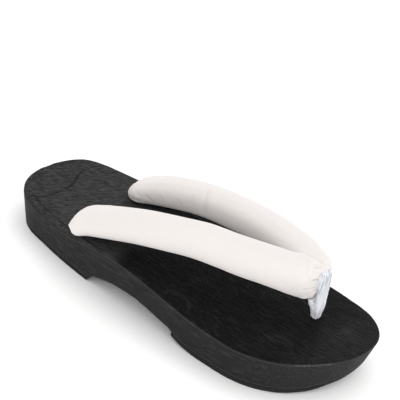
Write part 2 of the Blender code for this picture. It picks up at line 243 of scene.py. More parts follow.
innerStrapRows = [  # along, across, lift, wide, thick
    (0.2310, -0.572, 0.00, 0.34, 0.22), (0.2380, -0.572, 0.00, 0.74, 0.44), (0.2520, -0.571, 0.00, 1.02, 0.62),
    (0.2730, -0.571, 0.00, 1.15, 0.77), (0.3000, -0.580, 0.00, 1.15, 0.88), (0.3370, -0.610, 0.01, 1.09, 0.98),
    (0.4050, -0.640, 0.12, 1.02, 1.00), (0.4940, -0.656, 0.32, 0.97, 1.00), (0.5830, -0.637, 0.60, 0.96, 1.00),
    (0.6480, -0.600, 0.78, 0.98, 1.00), (0.6920, -0.551, 0.87, 1.02, 1.00), (0.7280, -0.486, 0.92, 1.00, 1.00),
    (0.7475, -0.453, 0.95, 1.01, 1.00), (0.7835, -0.378, 0.96, 1.00, 1.03), (0.8190, -0.275, 0.93, 0.92, 1.03),
    (0.8380, -0.240, 0.95, 0.80, 0.92), (0.8490, -0.212, 1.02, 0.60, 0.70),
]
length, halfWidth = body["length"], body["width"] / 2


def smoothRows(rows, at, knots=None):
    rows = np.asarray(rows, float)
    if knots is None:
        knots, rows = rows[:, 0], rows[:, 1:]
    steps = np.diff(knots)[:, None]
    slopes = np.diff(rows, axis=0) / steps
    tangents = np.vstack((slopes[:1], (slopes[:-1] * steps[1:] + slopes[1:] * steps[:-1])
                          / (steps[1:] + steps[:-1]), slopes[-1:]))
    at = np.clip(np.asarray(at, float), knots[0], knots[-1])
    cell = np.clip(np.searchsorted(knots, at, side="right") - 1, 0, len(steps) - 1)
    step = steps[cell]
    u = (at - knots[cell])[:, None] / step
    return ((2 * u**3 - 3 * u**2 + 1) * rows[cell] + (u**3 - 2 * u**2 + u) * step * tangents[cell]
            + (3 * u**2 - 2 * u**3) * rows[cell + 1] + (u**3 - u**2) * step * tangents[cell + 1])


def outlineAt(angles):
    table = np.array(outlineRows)
    turns = np.arccos(1 - 2 * table[:, 0])
    outer = np.column_stack((turns, table[:, 2], table[:, 3], table[:, 4]))
    inner = np.column_stack((2 * math.pi - turns, table[:, 1], table[:, 3], table[:, 4]))[::-1]
    loop = np.vstack((outer, inner[1:]))
    turn = np.array([2 * math.pi, 0, 0, 0])
    loop = np.vstack((loop[-4:-1] - turn, loop, loop[1:4] + turn))
    values = smoothRows(loop, angles)
    along = (1 - np.cos(angles)) / 2
    points = np.column_stack((values[:, 0] * halfWidth, (along - 0.5) * length))
    return points, values[:, 1] * body["lean"], values[:, 2] * body["edge"]


def halfWidthAt(y):
    turns = np.arccos(np.clip(-2 * np.asarray(y, float) / length, -1, 1))
    return outlineAt(2 * math.pi - turns)[0][:, 0], outlineAt(turns)[0][:, 0]


def topHeight(x, y):
    x, y = np.atleast_1d(np.asarray(x, float)), np.atleast_1d(np.asarray(y, float))
    rows = smoothRows(topRows, y / length + 0.5)
    inner, outer = halfWidthAt(y)
    reach = np.maximum((outer - inner) / 2, 0.1 * halfWidth)
    across = np.clip((x - (inner + outer) / 2) / reach, -1, 1)
    return rows[:, 0] * body["hump"] - rows[:, 1] * body["dish"] * (1 - across**2)


def topOf(points):
    return topHeight(points[:, 0], points[:, 1])


def alongOf(points):
    return points[:, 1] / length + 0.5


def spotAt(x, along, z):
    return np.array([x, (along - 0.5) * length, z])


def inwardOf(points):
    tangent = np.roll(points, -1, axis=0) - np.roll(points, 1, axis=0)
    tangent /= np.linalg.norm(tangent, axis=1)[:, None]
    return np.column_stack((-tangent[:, 1], tangent[:, 0]))


def smoothStep(value, low, high):
    t = np.clip((value - low) / (high - low), 0, 1)
    return t * t * (3 - 2 * t)


# small helpers for meshes

def addObject(name, vertices, edges, faces):
    mesh = bpy.data.meshes.new(name)
    mesh.from_pydata([tuple(map(float, v)) for v in vertices], edges, faces)
    return newObject(name, mesh)


def meshObject(name, vertices, faces, together=1e-6):
    obj = addObject(name, vertices, [], faces)
    form = bmesh.new()
    form.from_mesh(obj.data)
    bmesh.ops.remove_doubles(form, verts=form.verts, dist=together)
    bmesh.ops.recalc_face_normals(form, faces=form.faces)
    form.to_mesh(obj.data)
    form.free()
    return obj


def ringFaces(rings, around):
    return [(r * around + i, r * around + (i + 1) % around,
             (r + 1) * around + (i + 1) % around, (r + 1) * around + i)
            for r in range(rings - 1) for i in range(around)]


def closedTube(name, sections):
    around = len(sections[0])
    vertices = np.vstack(sections + [sections[0].mean(0)[None], sections[-1].mean(0)[None]])
    faces = ringFaces(len(sections), around)
    first, last = len(sections) * around, (len(sections) - 1) * around
    for i in range(around):
        j = (i + 1) % around
        faces += [(first, j, i), (first + 1, last + i, last + j)]
    return meshObject(name, vertices, faces)


def readAll(items, name, wide=3, kind=float):
    values = np.empty(len(items) * wide, kind)
    items.foreach_get(name, values)
    return values.reshape(-1, wide)


def pointsOf(obj):
    return readAll(obj.data.vertices, "co")


def normalsOf(obj):
    return readAll(obj.data.vertex_normals, "vector")


def setPoints(obj, points):
    obj.data.vertices.foreach_set("co", np.asarray(points, float).ravel())
    obj.data.update()


def setValue(obj, name, values):
    layer = obj.data.attributes.get(name) or obj.data.attributes.new(name, "FLOAT", "POINT")
    layer.data.foreach_set("value", np.asarray(values, np.float32))


def bake(obj):
    graph = bpy.context.evaluated_depsgraph_get()
    mesh = bpy.data.meshes.new_from_object(obj.evaluated_get(graph))
    obj.modifiers.clear()
    old = obj.data
    obj.data = mesh
    bpy.data.meshes.remove(old)
    mesh.name = obj.name


def applyStep(obj, kind, **settings):
    step = obj.modifiers.new(kind.lower(), kind)
    for key, value in settings.items():
        setattr(step, key, value)
    bake(obj)


def cutOrJoin(obj, other, operation):
    applyStep(obj, "BOOLEAN", operation=operation, object=other, solver="EXACT")
    bpy.data.objects.remove(other, do_unlink=True)


def relax(obj, rounds, share=0.5, widen=1.03):
    # in and out in turn, so that the form evens out and keeps its size
    edges = readAll(obj.data.edges, "vertices", 2, int)
    points = pointsOf(obj)
    count = np.bincount(edges.ravel(), minlength=len(points))[:, None]
    for turn in range(rounds):
        total = np.zeros_like(points)
        np.add.at(total, edges[:, 0], points[edges[:, 1]])
        np.add.at(total, edges[:, 1], points[edges[:, 0]])
        points = points + (total / count - points) * (share if turn % 2 == 0 else -share * widen)
    setPoints(obj, points)


def smoothShade(obj, angle=40):
    obj.data.shade_smooth()
    obj.data.set_sharp_from_angle(angle=math.radians(angle))


def dress(obj, material):
    obj.data.materials.clear()
    obj.data.materials.append(material)
    obj.data.shade_smooth()


def signedDistance(points, line):
    line = np.array(line)
    best = np.full(len(points), 1e3)
    sign = np.ones(len(points))
    for a, b in zip(line[:-1], line[1:]):
        run = b - a
        share = np.clip(((points - a) @ run) / max(run @ run, 1e-12), 0, 1)
        gap = points - (a + share[:, None] * run)
        size = np.linalg.norm(gap, axis=1)
        side = np.sign(run[0] * gap[:, 1] - run[1] * gap[:, 0])
        nearer = size < best
        best = np.where(nearer, size, best)
        sign = np.where(nearer, side, sign)
    return best * sign


# wooden base

base = {
    "stations": 260, "topRings": 72, "wallRings": 20, "underRows": 14,
    "heelRound": 1.2, "footRound": 0.0005, "spineEnds": 0.17, "arched": (0.02, 0.75),
    "heelFront": 0.336, "treadEnd": 0.955, "treadStep": 0.0006,
    "thongFoot": (0.8510, -0.288), "holeRadius": 0.0028, "holeDepth": 0.009, "holeMiddle": 0.0238,
    "reliefDepth": 0.000528, "reliefStretch": (950.0, 100.0, 800.0), "wallRelief": 0.35,
    "noLine": 0.02,  # a distance at which the creases and the lip no longer show
}
figureRows = {  # lines in the wood: (across, along), shares of the length
    "heelLine": [(0.150, 0.070), (0.137, 0.080), (0.109, 0.101), (0.066, 0.104), (0.011, 0.100),
                 (-0.038, 0.076), (-0.069, 0.065)],
    "knotLine": [(0.168, 0.5786), (0.157, 0.5800), (0.1497, 0.5871), (0.1450, 0.6048), (0.1465, 0.6266),
                 (0.1580, 0.6400)],
    "smallKnot": [(0.143, 0.573), (0.140, 0.569), (0.1355, 0.571), (0.1345, 0.577), (0.138, 0.581)],
    "wideKnot": [(0.085, 0.592), (0.066, 0.596), (0.054, 0.610), (0.052, 0.630), (0.060, 0.648)],
}
planedRows = [  # across, along, wide, long: where plane marks show, shares of the length
    (-0.050, 0.735, 0.040, 0.060), (0.078, 0.840, 0.020, 0.040), (-0.060, 0.930, 0.040, 0.020),
]


def undersideAt(y):
    seat = body["tread"] + body["gap"]
    end = base["treadEnd"]
    run = archRows[0][0] - base["heelFront"]
    corner = base["heelFront"] + run * seat / (archRows[0][1] * body["arch"])
    endHeight = np.interp(end, *zip(*rockerRows)) * body["toeLift"]
    rows = [(0.0, seat), (corner, seat)]
    rows += [(a, h * body["arch"]) for a, h in archRows]
    rows += [(a, h * body["toeLift"] + seat) for a, h in rockerRows if a < end]
    rows += [(end, endHeight + seat), (end + 0.0015, endHeight + base["treadStep"])]
    rows += [(a, h * body["toeLift"]) for a, h in rockerRows if a > end + 0.002]
    return np.interp(np.asarray(y, float) / length + 0.5, *zip(*rows))


def heelRounding(points):
    # the outer top edge is rounder from the heel to the arch
    along, outer = alongOf(points), points[:, 0] > 0
    return 1 + base["heelRound"] * outer * smoothStep(along, 0.01, 0.06) * smoothStep(along, 0.42, 0.26)


def carvedWood():
    count = base["stations"]
    points, lean, edge = outlineAt(np.arange(2 * count) * math.pi / count)
    inward = inwardOf(points)
    edge = edge * heelRounding(points)
    brim = topOf(points)
    rings = []

    def addRing(inset, height):
        rings.append(np.column_stack((points + inward * inset[:, None], height)))

    foot = np.full(len(points), body["tread"])
    for _ in range(4):  # the wall's foot and its lean settle each other
        foot = undersideAt((points + inward * ((brim - edge - foot) * np.tan(lean))[:, None])[:, 1])
    roundOff = base["footRound"]
    for turn in (90, 45, 0):
        bend = math.radians(turn)
        height = foot + roundOff * (1 - math.sin(bend))
        addRing((brim - edge - height) * np.tan(lean) + roundOff * (1 - math.cos(bend)), height)
    low, high = foot + roundOff, brim - edge
    for share in np.linspace(0, 1, base["wallRings"])[1:-1]:
        height = low + (high - low) * share
        addRing((brim - edge - height) * np.tan(lean), height)
    for turn in range(0, 91, 18):
        bend = math.radians(turn)
        addRing(edge * (1 - math.cos(bend)), brim - edge * (1 - math.sin(bend)))
    bottom, rim = rings[0], rings[-1]
    # the top: rings shrink onto a line along the middle
    ends = base["spineEnds"] * length
    spineY = np.clip(points[:, 1], ends - length / 2, length / 2 - ends)
    inner, outer = halfWidthAt(spineY)
    spine = np.column_stack(((inner + outer) / 2, spineY))
    for share in np.linspace(1, 0, base["topRings"])[1:]:
        flat = spine + (rim[:, :2] - spine) * share
        rings.append(np.column_stack((flat, topOf(flat))))
    faces = ringFaces(len(rings), len(points))
    vertices = list(np.vstack(rings))
    # the underside: rows across from one side of the foot to the other
    rows = []
    archStart, archEnd = base["arched"]
    for j in range(1, count):
        first, last = bottom[j], bottom[2 * count - j]
        ids = [j]
        for share in np.linspace(0, 1, base["underRows"] + 1)[1:-1]:
            spot = first + (last - first) * share
            spot[2] = undersideAt(spot[1]) if archStart < j / count < archEnd else spot[2]
            ids.append(len(vertices))
            vertices.append(spot)
        rows.append(ids + [2 * count - j])
    for a, b in zip(rows[:-1], rows[1:]):
        faces += [(a[i], b[i], b[i + 1], a[i + 1]) for i in range(len(a) - 1)]
    heel, toe = 0, count
    faces += [(heel, rows[0][i], rows[0][i + 1]) for i in range(len(rows[0]) - 1)]
    faces += [(toe, rows[-1][i + 1], rows[-1][i]) for i in range(len(rows[-1]) - 1)]
    return meshObject("wooden_dai", vertices, faces)


def woodValues(obj):
    points, normals = pointsOf(obj), normalsOf(obj)
    along, depth = alongOf(points), topOf(points) - points[:, 2]
    nearTop = smoothStep(depth, 0.003, 0.0005) * smoothStep(normals[:, 2], 0.5, 0.95)
    setValue(obj, "reliefShare", base["wallRelief"] + (1 - base["wallRelief"]) * nearTop)
    setValue(obj, "topShare", smoothStep(normals[:, 2], 0.25, 0.8) * smoothStep(depth, 0.004, 0.001))
    setValue(obj, "footGap", points[:, 2] - undersideAt(points[:, 1]))
    ring, _, edge = outlineAt(np.linspace(0, 2 * math.pi, 721)[:-1])
    gap, nearest = np.empty(len(points)), np.empty(len(points), int)
    for part in np.array_split(np.arange(len(points)), 12):
        apart = np.linalg.norm(points[part, None, :2] - ring[None], axis=2)
        nearest[part] = apart.argmin(axis=1)
        gap[part] = apart.min(axis=1)
    setValue(obj, "rimGap", gap)
    heel = (heelRounding(ring) - 1)[nearest]
    edge, brim = (edge * heelRounding(ring))[nearest], topOf(ring)[nearest]
    onTop = points[:, 2] > brim - edge * 0.5
    # painted shade: a dark line along the break where the rounder outer heel edge meets the top, fading out at
    # the heel's end
    fade = 0.004 * (1 - smoothStep(along, 0.055, 0.095))
    crease = np.abs(gap - edge * 0.95) + fade
    setValue(obj, "heelEdgeShade", np.where((heel > 0.08) & onTop, crease, base["noLine"]))
    setValue(obj, "roundFoot", np.where(gap < 0.004, brim - edge * 0.9 - points[:, 2], base["noLine"]))
    flat = np.column_stack((points[:, 0] / length, along))
    planed = np.zeros(len(points))
    for across, middle, wide, long in planedRows:
        apart = ((flat[:, 0] - across) / wide)**2 + ((along - middle) / long)**2
        planed = np.maximum(planed, np.exp(-apart))
    setValue(obj, "planedShare", planed)
    for name, line in figureRows.items():
        smooth = smoothRows(line, np.linspace(0, len(line) - 1, 60), np.arange(len(line)))
        setValue(obj, name, signedDistance(flat, smooth) * length)


def grainNoise(tree, place, scales, detail=3.0):
    warp = vectorCalc(tree, "SUBTRACT", noise(tree, place, 38.0, 1.0)["Color"], (0.5, 0.5, 0.5))
    bent = vectorCalc(tree, "MULTIPLY_ADD", warp, (0.007, 0.004, 0.004), place)
    return longNoise(tree, bent, scales, detail, 0.6)


def reliefTree():
    tree, start, end = newTree("raisedGrain", [("Depth", "Float"), ("Stretch", "Vector")])
    place = makeNode(tree, "GeometryNodeInputPosition").outputs[0]
    streak = grainNoise(tree, place, start["Stretch"])
    share = makeNode(tree, "GeometryNodeInputNamedAttribute", {"Name": "reliefShare"}, data_type="FLOAT")
    lift = times(tree, calc(tree, "SUBTRACT", streak, 0.5), start["Depth"])
    lift = times(tree, lift, share.outputs["Attribute"])
    normal = makeNode(tree, "GeometryNodeInputNormal").outputs[0]
    offset = makeNode(tree, "ShaderNodeVectorMath", {0: normal, "Scale": lift}, operation="SCALE")
    move = makeNode(tree, "GeometryNodeSetPosition", {
        "Geometry": start["Geometry"], "Offset": offset.outputs[0]})
    return endTree(tree, start, end, move.outputs[0])


def grainGroup():
    names = ("Streak", "Ripple", "Pore", "Speckle", "Planing", "Patch")
    group, start, end = newGroup("woodFigure", "ShaderNodeTree", [
        ("Vector", "Vector"), ("Stretch", "Vector", base["reliefStretch"]),
        ("Ripples", "Vector", (1450.0, 190.0, 900.0)), ("Ripple Turn", "Float", math.radians(-53)),
        ("Planed", "Vector", (1700.0, 80.0, 500.0)), ("Pores", "Float", 1.0),
    ], [(name, "Float") for name in names])
    place = start["Vector"]
    turned = makeNode(group, "ShaderNodeVectorRotate", {
        "Vector": place, "Angle": start["Ripple Turn"]}, rotation_type="Z_AXIS")
    pore = remap(group, longNoise(group, place, (2400.0, 260.0, 2000.0), 2.0, 0.6), 0.52, 0.66)
    plugAll(group, end, {
        "Streak": grainNoise(group, place, start["Stretch"]),
        "Ripple": grainNoise(group, turned.outputs[0], start["Ripples"], 1.0),
        "Pore": times(group, pore, start["Pores"]),
        "Speckle": noise(group, place, 1300.0, 2.0, 0.6)["Fac"],
        "Planing": grainNoise(group, place, start["Planed"], 0.0),
        "Patch": longNoise(group, place, (60.0, 30.0, 60.0), 3.0, 0.55),
    })
    return group


woodLook = {
    "darkTop": (0.0025, 0.0025, 0.0027), "tipTop": (0.0095, 0.0095, 0.0098),
    # the grey top tone on the next line is a painted reflection, not the wood's own colour
    "reflectionGrey": (0.0325, 0.0325, 0.0325), "paleStreak": (0.085, 0.083, 0.080),
    # the wall tone on the next line is painted paler than the top, as painted light
    "wall": (0.0172, 0.0172, 0.0174), "wallPale": (0.045, 0.045, 0.045), "crease": (0.0015, 0.0015, 0.0015),
    "gloss": 0.06, "bump": 0.7, "bumpDepth": 0.0005,
    "heelEnds": (-0.026, -0.046), "reflectionEnds": (-0.010, -0.026), "tipEnds": (0.104, 0.128),
}
lineRows = [  # line, width, strength, tone
    ("heelLine", 0.0013, 0.62, "crease"), ("knotLine", 0.0013, 0.22, "wallPale"),
    ("smallKnot", 0.0009, 0.14, "wallPale"), ("wideKnot", 0.0020, 0.08, "wallPale"),
]


def woodMaterial():
    material, tree, shader, place = newMaterial("black_stained_wood")
    axes = splitAxes(tree, place)
    y = axes["Y"]
    grain = useGroup(tree, grainGroup(), Vector=place)
    streak, ripple, pore = grain["Streak"], grain["Ripple"], grain["Pore"]

    def layers(color, rows):
        for mask, tone in rows:
            color = blendColor(tree, mask, color, woodLook[tone])
        return color

    def lineMask(name, start, end, strength):
        return remap(tree, calc(tree, "ABSOLUTE", namedValue(tree, name)), start, end, 0.0, strength)

    bent = calc(tree, "ADD", y, calc(tree, "MULTIPLY_ADD", grain["Patch"], 0.02, -0.01))
    heelZone = remap(tree, bent, *woodLook["heelEnds"])  # grey at the heel, dark past the straps
    # painted reflection: the top is painted grey from the heel up to the hump's crest, where the slope faces
    # the light, and dark past it
    middle = remap(tree, bent, *woodLook["reflectionEnds"])
    tip = remap(tree, calc(tree, "MULTIPLY_ADD", grain["Patch"], 0.03, y), *woodLook["tipEnds"])
    shadow = calc(tree, "MULTIPLY_ADD", heelZone, -0.35, 0.75)
    topColor = layers(woodLook["darkTop"], [
        (tip, "tipTop"), (middle, "reflectionGrey"),
        (times(tree, remap(tree, streak, 0.53, 0.72), calc(tree, "MULTIPLY_ADD", heelZone, 0.01, 0.14)),
         "paleStreak"),
        (times(tree, remap(tree, ripple, 0.50, 0.64, 0.0, 0.36), heelZone), "paleStreak"),
        (times(tree, remap(tree, ripple, 0.50, 0.36, 0.0, 0.55), heelZone), "crease"),
        (times(tree, remap(tree, streak, 0.46, 0.30), shadow), "crease"),
        (times(tree, remap(tree, grain["Planing"], 0.56, 0.64, 0.0, 0.24), namedValue(tree, "planedShare")),
         "paleStreak"),
        (remap(tree, grain["Speckle"], 0.50, 0.70, 0.0, 0.16), "paleStreak"),
        *((lineMask(name, width, width * 0.2, strength), tone) for name, width, strength, tone in lineRows),
    ])
    # painted light: the wall is painted much paler than the top, standing for the brighter light on the sides
    wallColor = layers(woodLook["wall"], [
        (remap(tree, y, 0.080, 0.118, 0.0, 0.12), "wallPale"),
        (remap(tree, streak, 0.45, 0.7, 0.0, 0.35), "wallPale"),
        # painted highlight: a pale line along the wall's rounded foot, where the lower edge catches the light
        (remap(tree, namedValue(tree, "footGap"), 0.0011, 0.0003, 0.0, 0.6), "paleStreak"),
    ])
    # painted highlight: a pale line along the rounded top edge, broken by speckle, most of all along the outer
    # toe
    toeEdgeHighlight = times(tree, remap(tree, y, 0.096, 0.101), remap(tree, axes["X"], 0.012, 0.018))
    broken = remap(tree, grain["Speckle"], 0.40, 0.52, 0.0, 0.75)
    edgeHighlight = times(tree, lineMask("roundFoot", 0.0008, 0.0001, 1.0),
                calc(tree, "MULTIPLY_ADD", toeEdgeHighlight, broken, 0.24))
    rim = remap(tree, namedValue(tree, "rimGap"), 0.0011, 0.0004)
    color = layers(blendColor(tree, namedValue(tree, "topShare"), wallColor, topColor), [
        # painted shade along the inner break of the outer heel edge
        (remap(tree, namedValue(tree, "heelEdgeShade"), 0.0014, 0.0002, 0.0, 0.62), "crease"),
        (edgeHighlight, "paleStreak"),
        # painted highlight: pale streaks within about a millimetre of the outline
        (times(tree, rim, remap(tree, streak, 0.52, 0.66, 0.0, 0.12)), "paleStreak"),
        (times(tree, pore, 0.35), "crease"),
    ])
    plugAll(tree, shader, {
        "Base Color": color, "Roughness": remap(tree, streak, 0.3, 0.75, 0.62, 0.46),
        "Specular IOR Level": woodLook["gloss"],
    })
    height = calc(tree, "MULTIPLY_ADD", pore, -0.35, streak)
    height = calc(tree, "MULTIPLY_ADD", times(tree, ripple, heelZone), 0.8, height)
    addBump(tree, shader, height, woodLook["bump"], woodLook["bumpDepth"])
    return material


def makeWood():
    obj = carvedWood()
    along, across = base["thongFoot"]
    bpy.ops.mesh.primitive_cylinder_add(
        vertices=32, radius=base["holeRadius"], depth=base["holeDepth"] * 2,
        location=spotAt(across * halfWidth, along, base["holeMiddle"]))
    cutOrJoin(obj, bpy.context.object, "DIFFERENCE")
    woodValues(obj)
    runTree(obj, reliefTree(), Depth=base["reliefDepth"], Stretch=base["reliefStretch"],
            Material=woodMaterial())
    smoothShade(obj, 50)
    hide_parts("wooden_base")
    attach(obj, "root")
    print("wooden base:", len(obj.data.polygons), "faces")


# rubber treads

treads = {
    "sides": 90, "round": 0.0004, "outlineHeight": 0.0015, "inside": 1e-5, "narrowest": 2e-5,
    "color": (0.019, 0.019, 0.0195), "dust": (0.05, 0.05, 0.05), "gloss": 0.06,
}
cornerRows = [(1, -1, 270), (1, 1, 0), (-1, 1, 90), (-1, -1, 180)]  # across, up, first turn


def outlineInset(height):
    points, lean, edge = outlineAt(np.linspace(0, 2 * math.pi, 1441)[:-1])
    drop = topOf(points) - edge - height
    return points + inwardOf(points) * (drop * np.tan(lean))[:, None]


def reachAt(ring, y):
    heel, toe = ring[:, 1].argmin(), ring[:, 1].argmax()
    ring = np.roll(ring, -heel, axis=0)
    toe = (toe - heel) % len(ring)
    outer, inner = ring[:toe + 1], np.vstack((ring[toe:], ring[:1]))[::-1]
    return np.interp(y, inner[:, 1], inner[:, 0]), np.interp(y, outer[:, 1], outer[:, 0])


def treadPad(name, node, material, lowAt, start, end, slope):
    ring = outlineInset(treads["outlineHeight"])
    first = max((start - 0.5) * length, ring[:, 1].min() + treads["inside"])
    last = min((end - 0.5) * length, ring[:, 1].max() - treads["inside"])
    shares = np.linspace(0, 1, treads["sides"])
    spots = first + (last - first) * (1 - np.cos(shares * math.pi / 2) if start <= 0 else shares)
    sections = []
    for share, y in zip(shares, spots):
        inner, outer = reachAt(ring, y)
        half = max((outer - inner) / 2, treads["narrowest"])
        soft = min(treads["round"], half * 0.45)
        bottom = float(lowAt(y))
        section = []
        for across, up, firstTurn in cornerRows:
            x = (inner + outer) / 2 + across * (half - soft)
            z = bottom + (soft if up < 0 else body["tread"] - soft)
            for turn in range(firstTurn, firstTurn + 91, 30):
                bend = math.radians(turn)
                section.append((x + math.cos(bend) * soft, y, z + math.sin(bend) * soft))
        section = np.array(section)
        section[:, 1] += slope * (section[:, 2] - bottom) * share**3
        sections.append(section)
    around = len(sections[0])
    faces = ringFaces(len(sections), around)
    faces.append(tuple(range(around))[::-1])
    faces.append(tuple(range((len(sections) - 1) * around, len(sections) * around)))
    obj = meshObject(name, np.vstack(sections), faces)
    smoothShade(obj, 35)
    obj.data.materials.append(material)
    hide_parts(node)
    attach(obj, "root")


def rubberMaterial():
    material, tree, shader, place = newMaterial("black_rubber")
    speckle = noise(tree, place, 900.0, 2.0, 0.6)["Fac"]
    cloud = noise(tree, place, 60.0, 3.0, 0.6)["Fac"]
    dusty = times(tree, remap(tree, speckle, 0.5, 0.75), remap(tree, cloud, 0.45, 0.7, 0.0, 0.5))
    plugAll(tree, shader, {
        "Base Color": blendColor(tree, dusty, treads["color"], treads["dust"]),
        "Roughness": remap(tree, cloud, 0.3, 0.7, 0.72, 0.9), "Specular IOR Level": treads["gloss"],
    })
    addBump(tree, shader, speckle, 0.5, 0.0003)
    return material


def makeTreads():
    rubber = rubberMaterial()
    archRun, archRise = (archRows[0][0] - base["heelFront"]) * length, archRows[0][1] * body["arch"]
    treadPad("heel_rubber_pad", "heel_tread", rubber, lambda y: 0.0, 0.0, base["heelFront"],
             archRun / archRise)
    treadPad("front_rubber_pad", "front_tread", rubber,
             lambda y: np.interp(y / length + 0.5, *zip(*rockerRows)) * body["toeLift"],
             rockerRows[0][0], base["treadEnd"], 0)
    print("treads done")


# padded straps

straps = {
    "steps": 150, "sides": 64, "squareness": 2.15, "voxel": 0.0013, "slim": 0.0007,
    "pressure": 60.0, "loose": -0.05, "stiffness": 5.0, "bending": 0.05, "quality": 5, "frames": 16,
    "cap": 0.0014, "swell": 0.02, "grow": 0.0001, "tipFill": 0.0006, "seamWidth": 14, "fill": 0.85,
    "sagAngle": -42, "sagWidth": 30,
    "color": (0.700, 0.664, 0.645), "tone": (0.700, 0.643, 0.624), "shade": (0.52, 0.485, 0.47),
    "thread": 0.00042,
}
creaseRows = {  # along, angle, along, angle, width mm, depth mm; the angle is 0 outwards and 90 up
    "outer": [
        (0.252, 8, 0.285, 14, 0.8, 0.25), (0.400, -90, 0.800, -90, 0.6, 0.30),
    ],
    "inner": [
        (0.470, 66, 0.4895, -14, 1.5, 0.26), (0.238, 110, 0.266, 106, 1.1, 0.16),
        (0.240, 62, 0.262, 68, 1.0, 0.18), (0.250, 10, 0.254, 92, 0.8, 0.50),
        (0.262, 5, 0.285, -25, 0.9, 0.30), (0.286, 14, 0.302, -20, 0.8, 0.20),
        (0.312, 0, 0.336, -26, 0.9, 0.24), (0.352, 8, 0.366, -22, 0.8, 0.18),
        (0.404, 4, 0.424, -24, 0.8, 0.20), (0.440, 30, 0.452, 0, 0.9, 0.12),
        (0.818, 60, 0.842, 75, 0.7, 0.30), (0.400, -90, 0.800, -90, 0.6, 0.30),
    ],
}
tipRows = [  # x, along, z, reach, pull: where a strap's end or the join is fuller or flatter
    (0.0390, 0.2570, 0.0350, 0.0048, -0.0026), (0.0329, 0.2514, 0.0358, 0.0040, -0.0012),
    (0.0440, 0.2760, 0.0312, 0.0030, -0.0005), (0.0431, 0.2880, 0.0299, 0.0045, 0.0014),
    (0.0423, 0.2980, 0.0299, 0.0060, 0.0014), (-0.0140, 0.2809, 0.0292, 0.0070, 0.0009),
    (0.0011, 0.8279, 0.0427, 0.0045, 0.0011), (-0.0017, 0.8356, 0.0421, 0.0045, 0.0010),
    (0.0012, 0.8060, 0.0618, 0.0035, 0.0005), (-0.0002, 0.8200, 0.0612, 0.0035, 0.0006),
    (-0.0023, 0.8310, 0.0614, 0.0035, 0.0005), (-0.0132, 0.8374, 0.0610, 0.0045, 0.0005),
    (-0.0091, 0.7796, 0.0585, 0.0035, 0.0010), (-0.0062, 0.7923, 0.0599, 0.0045, 0.0015),
    (-0.0045, 0.8137, 0.0616, 0.0045, 0.0011), (-0.0045, 0.8305, 0.0619, 0.0035, 0.0005),
]
tipFolds = [  # x, along, z at both ends, width mm, depth mm: short folds where the cloth is gathered
    (-0.0010, 0.8360, 0.0611, -0.0050, 0.8427, 0.0601, 0.80, 0.60),
    (0.0019, 0.8422, 0.0549, -0.0018, 0.8468, 0.0539, 0.55, 0.75),
    (0.0054, 0.8352, 0.0493, -0.0004, 0.8451, 0.0494, 0.65, 0.85),
    (0.0013, 0.8359, 0.0417, -0.0020, 0.8465, 0.0430, 0.55, 0.75),
    (-0.0128, 0.2620, 0.0300, -0.0122, 0.3000, 0.0312, 1.20, 0.55),
]
pinchRows = [  # x, along, z, reach mm, pull mm: the small nib of cloth at the near strap's rear end
    (0.0440, 0.2690, 0.0326, 1.1, 1.3), (0.0446, 0.2765, 0.0309, 1.0, -1.4),
    (0.0415, 0.2620, 0.0340, 2.0, -0.4),
]


def strapPath(rows, steps):
    return smoothRows(rows, np.linspace(0, 1, steps) * (len(rows) - 1), np.arange(len(rows)))


def ovalPoints(wide, thick, sides, squareness):
    turn = np.arange(sides) * 2 * math.pi / sides
    cos, sin = np.cos(turn), np.sin(turn)
    return np.column_stack((np.sign(cos) * np.abs(cos) ** (2 / squareness) * wide / 2,
                            np.sign(sin) * np.abs(sin) ** (2 / squareness) * thick / 2))


def strapTube(name, rows):
    # a little slimmer than the solid, for the cloth to fill
    sections, centres = [], []
    for along, across, lift, wide, thick in strapPath(rows, straps["steps"]):
        wide = wide * body["strapWidth"]
        thick = thick * body["strapThick"]
        full = ovalPoints(wide, thick, straps["sides"], straps["squareness"])
        x0, y0 = across * halfWidth, (along - 0.5) * length
        y = np.full(len(full), y0)
        rest = (topHeight(full[:, 0] + x0, y) - full[:, 1]).max()
        z0 = rest + body["gap"] + max(lift, 0) * body["strapLift"]
        taper = smoothStep(along, 0.245, 0.275) * smoothStep(along, 0.835, 0.800)
        flat = full * max(1 - 2 * straps["slim"] * taper / min(wide, thick), 0.6)
        sections.append(np.column_stack((flat[:, 0] + x0, y, flat[:, 1] + z0)))
        centres.append((y0, x0, z0, wide, thick))
    return closedTube(name, sections), np.array(centres)


def sectionAt(points, centres):
    x0, z0, wide, thick = (np.interp(points[:, 1], centres[:, 0], centres[:, k]) for k in (1, 2, 3, 4))
    dx, dz = points[:, 0] - x0, points[:, 2] - z0
    return x0, z0, wide, thick, dx, dz, np.degrees(np.arctan2(dz / thick, dx / wide))


def strapPlace(points, centres):
    _, _, wide, thick, dx, dz, turn = sectionAt(points, centres)
    return np.hypot(dx / wide, dz / thick) * 2, turn, (wide + thick) / 4


